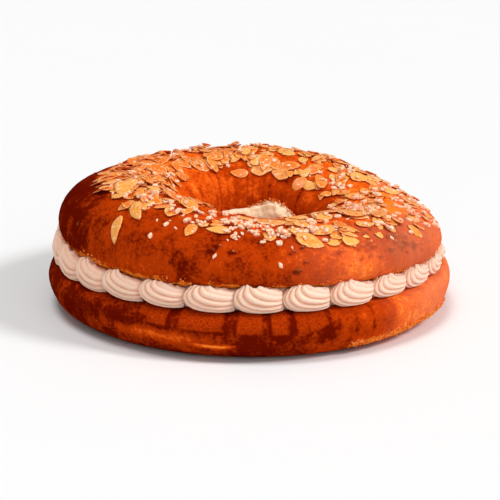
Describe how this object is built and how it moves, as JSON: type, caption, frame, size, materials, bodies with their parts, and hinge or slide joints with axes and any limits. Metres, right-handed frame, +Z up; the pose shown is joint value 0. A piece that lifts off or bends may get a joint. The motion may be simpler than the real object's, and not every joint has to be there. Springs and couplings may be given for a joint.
{
  "type": "roscon de reyes",
  "caption": "Ring of glazed sweet bread split level and filled with piped cream, its top strewn with flaked almonds and sugar nibs.",
  "frame": {"origin": "centre of the base, on the surface that it rests on", "axes": "+Z up through the hole, -Y towards the side that the picture shows as the front, +X to its right"},
  "size_m": [0.3, 0.3, 0.0999],
  "materials": {
    "base_crust": "baked bread crust, satin, darker in bands, with a paler torn edge at the base",
    "top_crust": "egg-washed bread crust, glossy and blistered, browner on its crest and sides",
    "cream": "whipped cream, soft satin",
    "almond": "toasted flaked almond with a browner rim",
    "sugar": "white sugar nibs, rough and slightly translucent",
    "crumb": "golden bread crumb at the cut edges"
  },
  "bodies": {
    "root": {"bottom_bread": "base_crust", "cream_filling": "cream", "top_bread": "top_crust"}
  },
  "joints": []
}
